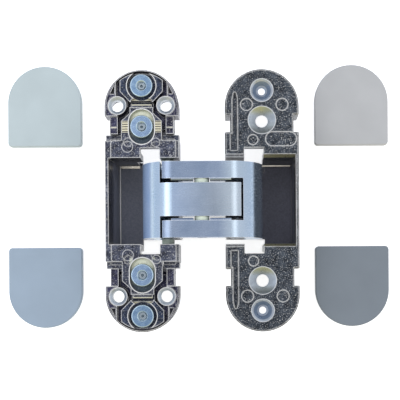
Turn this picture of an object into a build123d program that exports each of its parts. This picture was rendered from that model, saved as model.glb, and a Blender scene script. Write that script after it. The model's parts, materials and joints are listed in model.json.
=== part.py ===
from build123d import *
import os
from math import atan2, cos, hypot, pi, sin, sqrt

os.makedirs("parts", exist_ok=True)

# Millimetres. The origin is the middle of the frame side's four mounting holes, in the plane of
# the faces: x across the open pair toward the door, y along the door edge, z out of the faces.
# Sizes marked "across" run from a housing's centre line toward the middle of the hinge.

# Housings
body_length = 110.0
body_width = 31.0
body_spacing = 50.4  # between the two centre lines when the hinge is open
body_depth = 28.5  # face to the back of the pocket
edge_depth = 14.0  # depth of the castings around the pocket
pocket_half = 18.1  # half length of the pocket
back_wall = 1.4  # pocket wall away from the middle
back_draft = 1.7  # how far the frame side's back wall leans in at its foot
front_wall = 1.5  # pocket wall beside the middle
end_wall = 2.5
floor_wall = 1.5
web_floor = 2.2  # thicker floor that carries the pivot lugs
skirt_wall = 1.8
web_half = 15.0  # half length of that floor and its wall
deep_front = -3.3  # where the pocket's end walls stop, across
floor_front = -2.0  # where the floor beside the windows stops, across
window_start = -0.6  # open corner windows, across
window_end = 7.4
window_half = 22.1
notch_inner = 28.6  # side notches that hold the cover caps
notch_length = 7.2
notch_depth = 2.2

# Arm linkage
pivot_x = 10.3  # across
pivot_z = -17.0
cross_z = 3.4  # centre pin when open
closed_gap = 5.0  # between the two faces when closed
guide_x = 10.4  # across
guide_z = -8.6
arm_height = 31.4
tongue_width = 13.8
prong_width = 7.0
flat_top = 6.8
flat_bottom = 0.8
shoulder_x = 13.0  # where the flat starts to drop, across
column_front = -0.4  # outermost reach of a column, across
column_front_z = -9.0
heel_z = -14.0
column_edge = 8.0
column_waist = 6.9
root_edge = 13.4
root_bottom = -4.6
guide_neck = 8.9
guide_neck_z = 1.2
pivot_eye = 3.2
guide_eye = 2.3
cross_eye = 3.4
eye_length = 19.6
eye_trim = -16.0
lug_clearance = 0.55

# Pins, bushes and washers
pivot_pin = 3.6
bush_outer = 4.6
bush_flange = 6.0
bush_flange_thick = 0.6
bush_length = 6.0
cross_pin = 4.0
cross_washer = 6.2
guide_pin = 2.8
guide_collar = 5.4
lug_inner = 10.6
lug_radius = 3.2
lug_foot_z = -19.6
cheek_inner = 7.2
cheek_outer = 12.0
cheek_top = -5.6
cheek_bottom = -13.3
cheek_edge = 7.3
running_clearance = 0.05
seat_clearance = 0.02
side_clearance = 0.1
slot_clearance = 0.1

# Frame side: carriage tabs, cross slides and mounting blocks
rim_drop = 0.8  # casting rim beside the raised deck
deck_left = -14.3  # across, measured the other way round
deck_right = 13.0
deck_half = 25.4
flange_half = 28.3
flange_drop = 4.6
tab_half_width = 8.5
tab_neck = 4.9
tab_shoulder = 33.5
tab_neck_start = 36.8
tab_end = 39.2
tab_thick = 3.6
tab_lip_half = 4.2
tab_lip_end = 40.7
tab_lip_drop = 1.4
slide_half_width = 9.0
slide_neck = 4.9
side_slack = 0.3
slide_tongue = 8.2
slide_start = 41.5
slide_flare = 45.8
slide_plate = 3.4
slide_thick = 6.6
slide_slot_half = 4.4
slide_slot_end = 42.1
slide_step_half = 3.5
slide_step_end = 42.9
slide_step_drop = 1.2
slide_tongue_start = 26.9
slide_tongue_top = 3.8
slide_end_radius = 14.2
lateral_travel = 0.8
height_travel = 1.2
ledge_start = 8.5
ledge_drop = 5.4
ledge_end = 29.4
skirt_lift_y = 25.8
skirt_lift = 5.0
apron_start = 27.2
apron_thick = 1.2
apron_half = 13.4
block_depth = 10.5
block_drop = 0.3
block_start = 30.8
block_floor = 3.6
neck_floor = 6.8
neck_half = 6.0
neck_end = 46.2
channel_half = 10.7
channel_radius = 14.9
arm_inner = 10.1
arm_outer = 13.4
arm_start_y = 28.2
arm_end_y = 35.6
arm_drop = 1.2
arm_thick = 3.0
mount_x = 10.15
mount_y = 40.0
mount_hole = 4.9
mount_cone = 7.3
mount_boss = 3.9
mount_relief = 3.4
mount_plate = 5.0

# Clamp screws
screw_head = 9.6
screw_head_height = 2.6
screw_edge = 0.5
screw_shank = 4.9
screw_socket = 3.0  # across flats
screw_socket_deep = 1.5
screw_socket_mouth = 4.3
lateral_screw_y = 48.2
height_screw_y = 31.1
recess_deep = 2.1
recess_slack = 0.9
recess_length = 14.5
slot_slack = 0.6
thread_clearance = 0.05

# Door side: fixing holes
large_hole_y = 33.6
large_hole = 5.2
large_cone = 11.4
small_hole_y = 46.1
small_hole = 3.0
small_cone = 9.4
door_plate = 4.2
door_pocket_chamfer = 1.2
land_step_y = 20.2  # steps down to the arm beside each window
land_step_run = 0.9
land_step_drop = 0.7
oval_x = 8.0  # away from the middle
oval_y = 25.7
oval_length = 13.0
oval_width = 5.9
face_chamfer = 0.5
mark_deep = 0.15
scale_x = 6.9
scale_pitch = 1.0
scale_length = 2.4
scale_width = 0.4
scale_line = 31.0
trough_x = 10.6  # across
trough_radius = 14.0
trough_deep = 0.45
corner_round = 1.3

# Cover caps
cap_width = 32.8
cap_length = 35.8
cap_plate = 1.2
cap_rim = 0.8
cap_height = 3.4
cap_corner = 1.6
cap_clip_offset = 5.0  # clip centres from the middle of the cap
cap_clip_length = 5.0
cap_clip_deep = 0.7
cap_edge_round = 0.5

# Linkage geometry that follows from the sizes above
half_spacing = body_spacing / 2
half_width = body_width / 2
end_centre = body_length / 2 - half_width
cross_radius = hypot(half_spacing - pivot_x, cross_z - pivot_z)
closed_rise = closed_gap / 2 - pivot_z
closed_run = sqrt(cross_radius**2 - closed_rise**2)
arm_start = atan2(cross_z - pivot_z, half_spacing - pivot_x)
arm_turn = atan2(closed_rise, -closed_run) - arm_start
cross_turn = pi - 2 * arm_turn
pocket_back = back_wall - half_width
pocket_front = half_width - front_wall
shoulder_run = shoulder_x - column_front
shoulder_rise = flat_top - column_front_z
round_share = 0.5523  # share of a radius at which a curve's handle makes a quarter round
tip_reach = (shoulder_x - guide_neck) / shoulder_run
tip_top = column_front_z + shoulder_rise * sqrt(1 - tip_reach**2)
tip_slope = shoulder_rise / shoulder_run * tip_reach / sqrt(1 - tip_reach**2)


def across(side, x):
    """World x of a place measured across from the centre line of the left (-1) or right (1) housing."""
    return half_spacing + side * (half_spacing - x)


def spot(side, x, z):
    """Place in the x-z plane, with x measured across."""
    return (across(side, x), z)


def level(z):
    """Plane parallel to the faces."""
    return Plane.XY.offset(z)


def section(y):
    """Upright plane across the hinge at this y. Extruding goes toward smaller y."""
    return Plane.XZ.offset(-y)


def guide_place(share):
    """Where a guided arm end stands in its housing once this share of the fold is done."""
    turn = arm_start + share * arm_turn
    swing = share * (arm_turn + cross_turn)
    dx = guide_x - half_spacing
    dz = guide_z - cross_z
    x = pivot_x + cross_radius * cos(turn) + dx * cos(swing) - dz * sin(swing)
    z = pivot_z + cross_radius * sin(turn) + dx * sin(swing) + dz * cos(swing)
    return x, z


def panel(side, x0, x1, y0, y1, mode=Mode.ADD):
    """Rectangle in a face sketch, with x measured across."""
    with Locations((across(side, (x0 + x1) / 2), (y0 + y1) / 2)):
        Rectangle(x1 - x0, y1 - y0, mode=mode)


def both_ends(y0, y1):
    """A stretch of y and its mirror image at the other end of the hinge."""
    return ((y0, y1), (-y1, -y0))


# Features that both castings share


def cut_pocket(side):
    """Deep pocket for the arms with its two open corner windows."""
    with BuildSketch(level(0)) as mouth:
        panel(side, pocket_back, half_width + 1, -pocket_half, pocket_half)
        panel(side, window_start, window_end, -window_half, window_half)
    extrude(mouth.sketch, amount=-(body_depth - web_floor), mode=Mode.SUBTRACT)
    with BuildSketch(level(web_floor - body_depth)) as low_floor:
        panel(side, pocket_back, window_start, -pocket_half, pocket_half)
    extrude(low_floor.sketch, amount=floor_wall - web_floor, mode=Mode.SUBTRACT)


def add_pocket_box(side):
    """Block around the deep part of the pocket, before it is hollowed."""
    with BuildSketch(level(-body_depth)) as footprint:
        panel(side, -half_width, deep_front, -pocket_half - end_wall, pocket_half + end_wall)
        panel(side, -half_width, floor_front, -pocket_half, pocket_half)
        panel(side, -half_width, half_width, -web_half, web_half)
    extrude(footprint.sketch, amount=body_depth - edge_depth)


def add_pivot_web(side):
    """Low wall on the thick floor, with the two lugs that hold the pivot pin."""
    with BuildSketch(level(-body_depth)) as wall:
        panel(side, pocket_front, half_width, -web_half, web_half)
    extrude(wall.sketch, amount=body_depth - flat_bottom / 2)
    for y0, y1 in both_ends(lug_inner, web_half):
        with BuildSketch(section(y1)) as lug:
            with Locations(spot(side, pivot_x, pivot_z)):
                Circle(lug_radius)
            with Locations(spot(side, pocket_front, lug_foot_z)):
                Circle(front_wall)
            make_hull()
        extrude(lug.sketch, amount=y1 - y0)
    with BuildSketch(section(web_half + 1)) as pin_hole:
        with Locations(spot(side, pivot_x, pivot_z)):
            Circle(pivot_pin / 2 + seat_clearance)
    extrude(pin_hole.sketch, amount=2 * web_half + 2, mode=Mode.SUBTRACT)


def add_back_draft(side):
    """Lean of the pocket's back wall, thickest at the floor."""
    with BuildSketch(section(pocket_half)) as wedge:
        with BuildLine() as outline:
            Polyline(
                spot(side, pocket_back, -tab_thick),
                spot(side, pocket_back, floor_wall - body_depth),
                spot(side, pocket_back + back_draft, floor_wall - body_depth),
                close=True,
            )
        make_face(outline.edges())
    extrude(wedge.sketch, amount=2 * pocket_half)


def cut_guide_slot(side, y0, y1):
    """Curved slot that a guide pin follows through the whole fold."""
    steps = 12
    places = [guide_place(i / steps) for i in range(steps + 1)]
    for start, stop in both_ends(y0, y1):
        with BuildSketch(section(stop)) as slot:
            with Locations(*[spot(side, x, z) for x, z in places]):
                Circle(guide_pin / 2 + slot_clearance)
            make_hull()
        extrude(slot.sketch, amount=stop - start, mode=Mode.SUBTRACT)


def mould_mark(side, x, y, diameter):
    """Shallow round left by a mould pin."""
    with Locations((across(side, x), y)):
        Circle(diameter / 2)


# Door housing: one casting with its pocket, fixing holes and cap notches
door = 1
with BuildPart() as door_housing:
    with BuildSketch(level(0)) as door_face:
        with Locations((across(door, 0), 0)):
            SlotOverall(body_length, body_width, rotation=90)
        for y0, y1 in both_ends(notch_inner, notch_inner + notch_length):
            for x in (-half_width, half_width - notch_depth):
                panel(door, x, x + notch_depth, y0, y1, mode=Mode.SUBTRACT)
    extrude(amount=-edge_depth)
    chamfer(door_housing.faces().sort_by(Axis.Z)[-1].edges(), length=face_chamfer)
    add_pocket_box(door)
    # hollow backs of the two ends
    with BuildSketch(level(-edge_depth)):
        add(door_face.sketch)
        offset(amount=-skirt_wall, mode=Mode.REPLACE)
        middle = (-pocket_half - end_wall, pocket_half + end_wall)
        panel(door, -half_width, half_width, *middle, mode=Mode.SUBTRACT)
        for y0, y1 in both_ends(0, window_half + skirt_wall):
            panel(door, window_end, half_width, y0, y1, mode=Mode.SUBTRACT)
    extrude(amount=edge_depth - door_plate, mode=Mode.SUBTRACT)
    cut_pocket(door)
    add_pivot_web(door)
    # cheeks that guide the tongue of the frame arm
    for y0, y1 in both_ends(cheek_inner, cheek_outer):
        with BuildSketch(section(y1)):
            with BuildLine():
                Polyline(
                    spot(door, pocket_front, cheek_top - 1),
                    spot(door, pocket_front - 1, cheek_top),
                    spot(door, cheek_edge, cheek_top),
                    spot(door, cheek_edge, cheek_bottom),
                    spot(door, pocket_front, cheek_bottom),
                    close=True,
                )
            make_face()
        extrude(amount=y1 - y0)
    cut_guide_slot(door, tongue_width / 2, cheek_outer - 2)
    # countersunk fixing holes
    with Locations(*[(across(door, 0), y, 0) for y in (-large_hole_y, large_hole_y)]):
        CounterSinkHole(large_hole / 2, large_cone / 2, counter_sink_angle=90)
    with Locations(*[(across(door, 0), y, 0) for y in (-small_hole_y, small_hole_y)]):
        CounterSinkHole(small_hole / 2, small_cone / 2, counter_sink_angle=90)
    # bevelled pocket ends, and a step down to the arm beside each window
    for end in (-1, 1):
        with BuildSketch(Plane.YZ.offset(across(door, window_start))):
            with BuildLine():
                Polyline(
                    (end * pocket_half, 0),
                    (end * (pocket_half + door_pocket_chamfer), 0),
                    (end * pocket_half, -2 * door_pocket_chamfer),
                    close=True,
                )
            make_face()
        extrude(amount=window_start - pocket_back, mode=Mode.SUBTRACT)
        for step in (1, 2):
            with BuildSketch(level(0)):
                stretch = sorted((end * web_half, end * (land_step_y - step * land_step_run)))
                panel(door, window_end, half_width, *stretch)
            extrude(amount=-step * land_step_drop, mode=Mode.SUBTRACT)
    # shallow plain oval
    with BuildSketch(level(0)):
        with Locations((across(door, -oval_x), oval_y)):
            SlotOverall(oval_length, oval_width)
    extrude(amount=-mark_deep, mode=Mode.SUBTRACT)
    # pointed relief groove beside the middle, and the marks of the mould pins
    for end in (-1, 1):
        with BuildSketch(level(0)):
            with BuildLine():
                Polyline(
                    (across(door, 13.2), end * 21.0),
                    (across(door, 10.2), end * 21.0),
                    (across(door, 10.2), end * 42.5),
                    (across(door, 10.9), end * 45.2),
                    (across(door, 11.7), end * 45.2),
                    (across(door, 12.4), end * 42.5),
                    (across(door, 12.4), end * 28.0),
                    (across(door, 13.2), end * 27.6),
                    close=True,
                )
            make_face()
        extrude(amount=-1.6, mode=Mode.SUBTRACT)
        with BuildSketch(level(0)):
            mould_mark(door, 6.4, end * 40.1, 5.0)
            mould_mark(door, -8.5, end * 40.1, 5.0)
            mould_mark(door, 3.8, end * 25.4, 4.2)
        extrude(amount=-mark_deep, mode=Mode.SUBTRACT)

door_housing.part.label = "door_housing"
export_step(door_housing.part, "parts/door_housing.step")


# Frame housing: adjustable carriage with the pocket and the two clamp tabs
frame = -1
with BuildPart() as frame_housing:
    with BuildSketch(level(-flange_drop)):
        panel(frame, -half_width, half_width, -flange_half, flange_half)
    extrude(amount=flange_drop - edge_depth)
    with BuildSketch(level(-rim_drop)):
        panel(frame, -half_width, half_width, -deck_half, deck_half)
    extrude(amount=rim_drop - flange_drop)
    with BuildSketch(level(0)) as tab_face:
        panel(frame, -deck_right, -deck_left, -deck_half, deck_half)
        for end in (-1, 1):
            with BuildLine():
                Polyline(
                    (across(frame, -tab_half_width), end * pocket_half),
                    (across(frame, -tab_half_width), end * tab_shoulder),
                    (across(frame, -tab_neck), end * tab_neck_start),
                    (across(frame, -tab_neck), end * tab_end),
                    (across(frame, tab_neck), end * tab_end),
                    (across(frame, tab_neck), end * tab_neck_start),
                    (across(frame, tab_half_width), end * tab_shoulder),
                    (across(frame, tab_half_width), end * pocket_half),
                    close=True,
                )
            make_face()
        fillet(tab_face.vertices().group_by(Axis.X)[0], radius=corner_round)
    extrude(amount=-tab_thick)
    # lip that runs on into the cross slide, and ledges under the side arms of the mounts
    for y0, y1 in both_ends(tab_end - 1, tab_lip_end):
        with BuildSketch(level(-tab_lip_drop)):
            panel(frame, -tab_lip_half, tab_lip_half, y0, y1)
        extrude(amount=tab_lip_drop - tab_thick)
    for y0, y1 in both_ends(flange_half - 1, ledge_end):
        with BuildSketch(level(-ledge_drop)):
            panel(frame, -apron_half, -ledge_start, y0, y1)
            panel(frame, ledge_start, apron_half, y0, y1)
        extrude(amount=skirt_lift + ledge_drop - edge_depth)
    add_pocket_box(frame)
    # hollow back, with an open channel for the tongue of each cross slide
    for y0, y1 in both_ends(pocket_half + end_wall, flange_half - skirt_wall):
        with BuildSketch(level(-edge_depth)):
            panel(frame, skirt_wall - half_width, half_width - skirt_wall, y0, y1)
            for leg_start, leg_stop in both_ends(0, window_half + skirt_wall):
                panel(frame, window_end, half_width, leg_start, leg_stop, mode=Mode.SUBTRACT)
        extrude(amount=edge_depth - tab_thick, mode=Mode.SUBTRACT)
    for y0, y1 in both_ends(slide_tongue_start - height_travel - 0.4, flange_half):
        with BuildSketch(level(-edge_depth)):
            panel(frame, -slide_tongue - side_slack, slide_tongue + side_slack, y0, y1)
        extrude(amount=edge_depth - tab_thick, mode=Mode.SUBTRACT)
    for y0, y1 in both_ends(skirt_lift_y, ledge_end):
        with BuildSketch(level(-edge_depth)):
            panel(frame, -half_width, half_width, y0, y1)
        extrude(amount=skirt_lift, mode=Mode.SUBTRACT)
    cut_pocket(frame)
    add_back_draft(frame)
    add_pivot_web(frame)
    cut_guide_slot(frame, pocket_half - 1, window_half - 0.9)
    # long recess and slot for each height clamp screw
    for end in (-1, 1):
        with BuildSketch(level(0)):
            with Locations((across(frame, 0), end * height_screw_y)):
                SlotOverall(recess_length, screw_head + recess_slack, rotation=90)
        extrude(amount=-recess_deep, mode=Mode.SUBTRACT)
        with BuildSketch(level(-recess_deep)):
            with Locations((across(frame, 0), end * height_screw_y)):
                slot_length = screw_shank + 2 * height_travel + slot_slack
                SlotOverall(slot_length, screw_shank + slot_slack, rotation=90)
        extrude(amount=recess_deep - tab_thick, mode=Mode.SUBTRACT)
        with BuildSketch(level(0)):
            mould_mark(frame, 6.1, end * 22.6, 4.4)
            mould_mark(frame, -5.8, end * 24.6, 3.6)
        extrude(amount=-mark_deep, mode=Mode.SUBTRACT)
    # shallow trough down the land beside each window
    for y0, y1 in both_ends(pocket_half, deck_half):
        with BuildSketch(section(y1)):
            with Locations(spot(frame, trough_x, trough_radius - trough_deep)):
                Circle(trough_radius)
        extrude(amount=y1 - y0, mode=Mode.SUBTRACT)
    # scale marks beside the upper recess
    with BuildSketch(level(0)):
        with Locations((across(frame, 0), height_screw_y)):
            with GridLocations(2 * scale_x, scale_pitch, 2, 5):
                Rectangle(scale_length, scale_width)
    extrude(amount=-mark_deep, mode=Mode.SUBTRACT)

frame_housing.part.label = "frame_housing"
export_step(frame_housing.part, "parts/frame_housing.step")


# Cross slides: octagonal plates that carry the carriage and shift it sideways
def make_cross_slide(end):
    """Plate at one end (1 top, -1 bottom) with a tongue under the carriage tab."""
    with BuildPart() as slide:
        with BuildSketch(level(0)):
            with BuildLine():
                Polyline(
                    (across(frame, -slide_neck), end * slide_start),
                    (across(frame, -slide_half_width), end * slide_flare),
                    (across(frame, -slide_half_width), end * body_length / 2),
                    (across(frame, slide_half_width), end * body_length / 2),
                    (across(frame, slide_half_width), end * slide_flare),
                    (across(frame, slide_neck), end * slide_start),
                    close=True,
                )
            make_face()
            with Locations((across(frame, 0), end * end_centre)):
                Circle(slide_end_radius, mode=Mode.INTERSECT)
        extrude(amount=-slide_plate)
        with BuildSketch(level(-slide_plate)):
            panel(frame, -slide_neck, slide_neck, *sorted((end * slide_start, end * slide_flare)))
        extrude(amount=slide_plate - slide_thick)
        with BuildSketch(level(-slide_tongue_top)):
            panel(frame, -slide_neck, slide_neck, *sorted((end * slide_tongue_start, end * slide_flare)))
            panel(frame, -slide_tongue, slide_tongue, *sorted((end * slide_tongue_start, end * tab_shoulder)))
        extrude(amount=slide_tongue_top - slide_thick)
        # slot that takes the lip of the carriage tab, with a sloping-sided step behind it
        with BuildSketch(level(0)):
            slot_reach = sorted((end * (slide_start - 1), end * slide_slot_end))
            panel(frame, -slide_slot_half, slide_slot_half, *slot_reach)
        extrude(amount=-slide_tongue_top, mode=Mode.SUBTRACT)
        with BuildSketch(level(0)):
            with BuildLine():
                Polyline(
                    (across(frame, -slide_slot_half), end * slide_slot_end),
                    (across(frame, -slide_step_half), end * slide_step_end),
                    (across(frame, slide_step_half), end * slide_step_end),
                    (across(frame, slide_slot_half), end * slide_slot_end),
                    close=True,
                )
            make_face()
        extrude(amount=-slide_step_drop, mode=Mode.SUBTRACT)
        with BuildSketch(level(0)):
            with Locations((across(frame, 0), end * lateral_screw_y)):
                Circle(screw_head / 2 + lateral_travel + recess_slack / 2)
        extrude(amount=-recess_deep, mode=Mode.SUBTRACT)
        with BuildSketch(level(-recess_deep)):
            with Locations((across(frame, 0), end * lateral_screw_y)):
                SlotOverall(screw_shank + 2 * lateral_travel + slot_slack, screw_shank + slot_slack)
        extrude(amount=recess_deep - slide_thick, mode=Mode.SUBTRACT)
        with BuildSketch(level(-slide_tongue_top)):
            with Locations((across(frame, 0), end * height_screw_y)):
                Circle(screw_shank / 2 + thread_clearance)
        extrude(amount=slide_tongue_top - slide_thick, mode=Mode.SUBTRACT)
    return slide


# Frame mounts: rounded end blocks screwed into the door frame
def make_frame_mount(end):
    """End block with a channel for its cross slide and two countersunk holes."""
    with BuildPart() as mount:
        with BuildSketch(level(-block_drop)):
            with Locations((across(frame, 0), end * end_centre)):
                Circle(half_width)
            panel(frame, -half_width, half_width, *sorted((end * block_start, end * end_centre)))
            stretch = sorted((end * block_start, end * body_length / 2))
            panel(frame, -half_width, half_width, *stretch, mode=Mode.INTERSECT)
            notch = sorted((end * arm_start_y, end * arm_end_y))
            panel(frame, -half_width, -arm_outer, *notch, mode=Mode.SUBTRACT)
            panel(frame, arm_outer, half_width, *notch, mode=Mode.SUBTRACT)
        extrude(amount=block_drop - block_depth)
        chamfer(mount.edges().filter_by(GeomType.CIRCLE).group_by(Axis.Z)[-1], length=face_chamfer)
        # apron that closes the gap under the end of the carriage
        with BuildSketch(level(-block_depth)):
            panel(frame, -apron_half, apron_half, *sorted((end * apron_start, end * (block_start + 1))))
        extrude(amount=apron_thick)
        # side arms that reach over the flange of the carriage
        with BuildSketch(level(-arm_drop)):
            reach = sorted((end * arm_start_y, end * (arm_end_y + 1)))
            panel(frame, -arm_outer, -arm_inner, *reach)
            panel(frame, arm_inner, arm_outer, *reach)
        extrude(amount=-arm_thick)
        # channel for the cross slide
        with BuildSketch(level(0)):
            with Locations((across(frame, 0), end * end_centre)):
                Circle(channel_radius)
            outer = sorted((end * mount_y, end * body_length / 2))
            panel(frame, -channel_half, channel_half, *outer, mode=Mode.INTERSECT)
            with Locations(*[(across(frame, x), end * mount_y) for x in (-mount_x, mount_x)]):
                Circle(mount_boss, mode=Mode.SUBTRACT)
        extrude(amount=-block_floor, mode=Mode.SUBTRACT)
        with BuildSketch(level(0)):
            panel(frame, -arm_inner, arm_inner, *sorted((end * (arm_start_y - 1), end * mount_y)))
            panel(frame, -neck_half, neck_half, *sorted((end * mount_y, end * neck_end)))
            with Locations(*[(across(frame, x), end * mount_y) for x in (-mount_x, mount_x)]):
                Circle(mount_boss, mode=Mode.SUBTRACT)
        extrude(amount=-neck_floor, mode=Mode.SUBTRACT)
        # side arms stay above the flange, so the step under them is open
        with BuildSketch(level(-arm_drop)):
            lip = sorted((end * arm_start_y, end * arm_end_y))
            panel(frame, -half_width, -arm_inner, *lip)
            panel(frame, arm_inner, half_width, *lip)
        extrude(amount=arm_drop, mode=Mode.SUBTRACT)
        # relief for the tip of the height clamp screw
        with BuildSketch(level(-block_depth)):
            with Locations((across(frame, 0), end * height_screw_y)):
                Rectangle(2 * slide_neck, 2 * slide_neck)
        extrude(amount=block_depth, mode=Mode.SUBTRACT)
        # bosses and countersunk mounting holes
        with BuildSketch(level(-block_depth)):
            with Locations(*[(across(frame, x), end * mount_y) for x in (-mount_x, mount_x)]):
                Circle(mount_boss)
        extrude(amount=block_depth)
        with Locations(*[(across(frame, x), end * mount_y, 0) for x in (-mount_x, mount_x)]):
            CounterSinkHole(mount_hole / 2, mount_cone / 2, counter_sink_angle=90)
        with BuildSketch(level(-block_depth)):
            with Locations(*[(across(frame, x), end * mount_y) for x in (-mount_x, mount_x)]):
                Circle(mount_relief)
        extrude(amount=block_depth - mount_plate, mode=Mode.SUBTRACT)
        # threaded hole for the lateral clamp screw
        with BuildSketch(level(-block_depth)):
            with Locations((across(frame, 0), end * lateral_screw_y)):
                Circle(screw_shank / 2 + thread_clearance)
        extrude(amount=block_depth, mode=Mode.SUBTRACT)
        # three-cornered wells beside the channel
        for way in (-1, 1):
            with BuildSketch(level(0)):
                with BuildLine():
                    Polyline(
                        (across(frame, way * 11.3), end * 44.9),
                        (across(frame, way * 13.2), end * 44.9),
                        (across(frame, way * 11.3), end * 48.6),
                        close=True,
                    )
                make_face()
            extrude(amount=-3.0, mode=Mode.SUBTRACT)
        # reference lines for the scale, on the upper side arms
        if end > 0:
            with BuildSketch(level(-arm_drop)):
                with Locations((across(frame, 0), scale_line)):
                    with GridLocations(arm_inner + arm_outer, 1, 2, 1):
                        Rectangle(scale_length, scale_width)
            extrude(amount=-mark_deep, mode=Mode.SUBTRACT)
    return mount


def make_screw(end, y, tip):
    """Flat-headed clamp screw, its tip this far below the face."""
    under_head = -recess_deep
    with BuildPart() as screw:
        with BuildSketch(level(under_head)):
            with Locations((across(frame, 0), end * y)):
                Circle(screw_head / 2)
        extrude(amount=screw_head_height)
        top_edge = screw.edges().group_by(Axis.Z)[-1]
        fillet(top_edge, radius=screw_edge)
        with BuildSketch(level(under_head)):
            with Locations((across(frame, 0), end * y)):
                Circle(screw_shank / 2)
        extrude(amount=-(tip - recess_deep))
        with BuildSketch(level(under_head + screw_head_height)):
            with Locations((across(frame, 0), end * y)):
                RegularPolygon(screw_socket / 2, 6, major_radius=False)
        extrude(amount=-screw_socket_deep, mode=Mode.SUBTRACT)
        with Locations((across(frame, 0), end * y, under_head + screw_head_height)):
            CounterSinkHole(screw_socket / 2, screw_socket_mouth / 2, screw_socket_deep, 90)
    return screw


for end, place in ((1, "top"), (-1, "bottom")):
    cross_slide = make_cross_slide(end)
    cross_slide.part.label = f"cross_slide_{place}"
    export_step(cross_slide.part, f"parts/cross_slide_{place}.step")

    frame_mount = make_frame_mount(end)
    frame_mount.part.label = f"frame_mount_{place}"
    export_step(frame_mount.part, f"parts/frame_mount_{place}.step")

    lateral_screw = make_screw(end, lateral_screw_y, block_depth - side_slack)
    lateral_screw.part.label = f"lateral_clamp_screw_{place}"
    export_step(lateral_screw.part, f"parts/lateral_clamp_screw_{place}.step")

    height_screw = make_screw(end, height_screw_y, slide_thick + 0.9)
    height_screw.part.label = f"height_clamp_screw_{place}"
    export_step(height_screw.part, f"parts/height_clamp_screw_{place}.step")


# Arms: two swan-necked castings that cross like scissors on the centre pin


def arm_outline(side):
    """Side view of one arm, pivoted in the housing on this side and guided in the other one."""
    with BuildLine() as outline:
        Line(spot(-side, shoulder_x, flat_top), spot(side, shoulder_x, flat_top))
        # rounded shoulder and front of the column, then its heel down to the pivot eye
        Bezier(
            spot(side, shoulder_x, flat_top),
            spot(side, shoulder_x - round_share * shoulder_run, flat_top),
            spot(side, column_front, column_front_z + round_share * shoulder_rise),
            spot(side, column_front, column_front_z),
        )
        Bezier(
            spot(side, column_front, column_front_z),
            spot(side, column_front, heel_z),
            spot(side, pivot_x - 2.6 * pivot_eye / 2, pivot_z - 0.8),
            spot(side, pivot_x - 0.75 * pivot_eye, pivot_z - 0.7 * pivot_eye),
        )
        Polyline(
            spot(side, pivot_x - 0.75 * pivot_eye, pivot_z - 0.7 * pivot_eye),
            spot(side, pivot_x, pivot_z),
            spot(side, pivot_x - 0.75 * pivot_eye, pivot_z + 0.7 * pivot_eye),
            spot(side, column_waist, pivot_z + 1.2 * pivot_eye),
            spot(side, column_waist, root_bottom - 0.8),
            spot(side, column_waist + 0.8, root_bottom),
            spot(side, root_edge - 1.2, root_bottom),
            spot(side, root_edge, root_bottom + 1.2),
            spot(side, root_edge, flat_bottom),
            spot(-side, guide_x + guide_eye + 0.8, flat_bottom),
            spot(-side, guide_x + guide_eye, flat_bottom - 0.8),
            spot(-side, guide_x + guide_eye, guide_z),
            spot(-side, guide_x - guide_eye, guide_z),
            spot(-side, guide_neck, guide_neck_z),
            spot(-side, guide_neck, tip_top),
        )
        Spline(
            spot(-side, guide_neck, tip_top),
            spot(-side, shoulder_x, flat_top),
            tangents=[(side, tip_slope), (side, 0)],
        )
    make_face(outline.edges())
    with Locations(spot(side, pivot_x, pivot_z)):
        Circle(pivot_eye)
    with Locations(spot(-side, guide_x, guide_z)):
        Circle(guide_eye)
    with Locations((half_spacing, cross_z)):
        Circle(cross_eye)


def add_column(side):
    """Full-height column of an arm, trimmed clear of the pivot lugs."""
    with BuildSketch(section(arm_height / 2)) as column:
        arm_outline(side)
        with Locations(spot(side, column_edge - body_spacing / 2, 0)):
            Rectangle(body_spacing, 4 * body_depth, mode=Mode.INTERSECT)
    extrude(column.sketch, amount=arm_height)
    for y0, y1 in both_ends(eye_length / 2, arm_height / 2):
        with BuildSketch(section(y1)) as trim:
            with Locations(spot(side, pivot_x, pivot_z)):
                Circle(lug_radius + lug_clearance)
            with Locations(spot(side, 0, eye_trim - body_depth / 2)):
                Rectangle(body_width, body_depth)
        extrude(trim.sketch, amount=y1 - y0, mode=Mode.SUBTRACT)


def bore(x, z, diameter):
    """Round hole right through an arm along y."""
    with BuildSketch(section(arm_height)) as hole:
        with Locations((x, z)):
            Circle(diameter / 2)
    extrude(hole.sketch, amount=2 * arm_height, mode=Mode.SUBTRACT)


with BuildPart() as frame_arm:
    add_column(frame)
    with BuildSketch(section(tongue_width / 2)):
        arm_outline(frame)
    extrude(amount=tongue_width)
    bore(*spot(frame, pivot_x, pivot_z), bush_outer + 2 * seat_clearance)
    bore(half_spacing, cross_z, cross_pin + 2 * running_clearance)
    bore(*spot(door, guide_x, guide_z), guide_pin + 2 * seat_clearance)

frame_arm.part.label = "frame_arm"
export_step(frame_arm.part, "parts/frame_arm.step")


with BuildPart() as door_arm:
    add_column(door)
    for y0, y1 in both_ends(arm_height / 2 - prong_width, arm_height / 2):
        with BuildSketch(section(y1)):
            arm_outline(door)
            with Locations(spot(door, pivot_x, pivot_z)):
                Circle(lug_radius + lug_clearance, mode=Mode.SUBTRACT)
            with Locations(spot(door, 0, eye_trim - body_depth / 2)):
                Rectangle(body_width, body_depth, mode=Mode.SUBTRACT)
        extrude(amount=y1 - y0)
    bore(*spot(door, pivot_x, pivot_z), bush_outer + 2 * seat_clearance)
    bore(half_spacing, cross_z, cross_pin + 2 * seat_clearance)
    bore(*spot(frame, guide_x, guide_z), guide_pin + 2 * seat_clearance)

door_arm.part.label = "door_arm"
export_step(door_arm.part, "parts/door_arm.step")


# Pins, bushes and washers, turned parts that lie along y


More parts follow.
